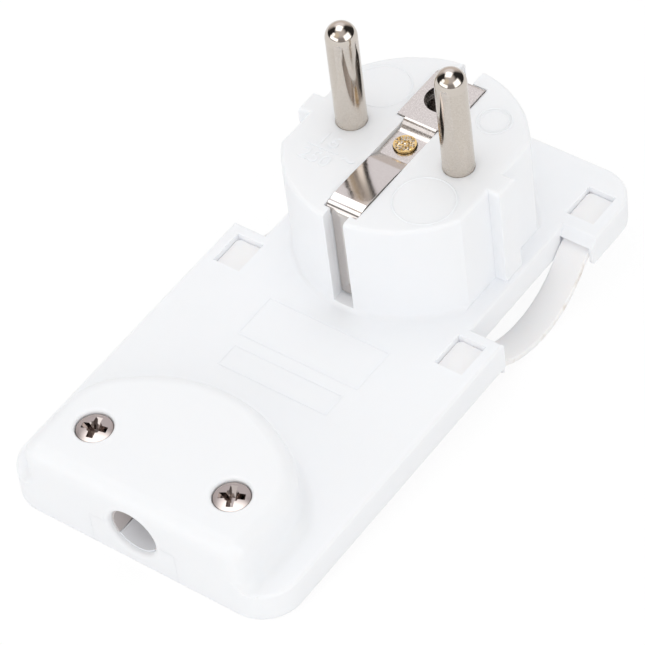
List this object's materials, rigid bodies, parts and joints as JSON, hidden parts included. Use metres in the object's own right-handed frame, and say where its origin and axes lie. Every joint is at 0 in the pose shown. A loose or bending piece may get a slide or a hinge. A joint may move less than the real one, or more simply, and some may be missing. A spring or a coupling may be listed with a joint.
{
  "type": "flat mains plug",
  "caption": "Flat white mains plug with round contact pins, a folded earth clip, a domed cable end with cross-head screws, and soft pull straps in the sides.",
  "frame": {"origin": "on the flat back face, under the axis of the round pin head", "axes": "+Z along the contact pins, away from the back face; +Y towards the pin end of the plate; +X to the right seen from the cable end"},
  "size_m": [0.0486, 0.0943, 0.0467],
  "materials": {
    "housing_plastic": "cool white moulded plastic with a fine satin skin",
    "strap_plastic": "warm ivory flexible plastic with a soft sheen",
    "plated_contact": "nickel plate over brass, satin with a warm grey tone",
    "brass": "bare brass",
    "plated_screw": "bright nickel plate",
    "zinc_steel": "zinc plated steel",
    "grip_plastic": "grey moulded plastic"
  },
  "bodies": {
    "root": {"front_housing": "housing_plastic", "back_cover": "housing_plastic", "pull_strap_left": "strap_plastic", "pull_strap_right": "strap_plastic", "live_pin": "plated_contact", "neutral_pin": "plated_contact", "earth_clip": "plated_contact", "earth_post": "brass", "earth_socket": "brass", "housing_screw_left": "plated_screw", "housing_screw_right": "plated_screw", "live_terminal_screw": "zinc_steel", "neutral_terminal_screw": "zinc_steel", "earth_terminal_screw": "zinc_steel", "live_clamp_washer": "zinc_steel", "neutral_clamp_washer": "zinc_steel", "earth_clamp_washer": "zinc_steel", "cord_clamp_screw_left": "zinc_steel", "cord_clamp_screw_right": "zinc_steel", "cord_clamp_bar": "grip_plastic"}
  },
  "joints": []
}
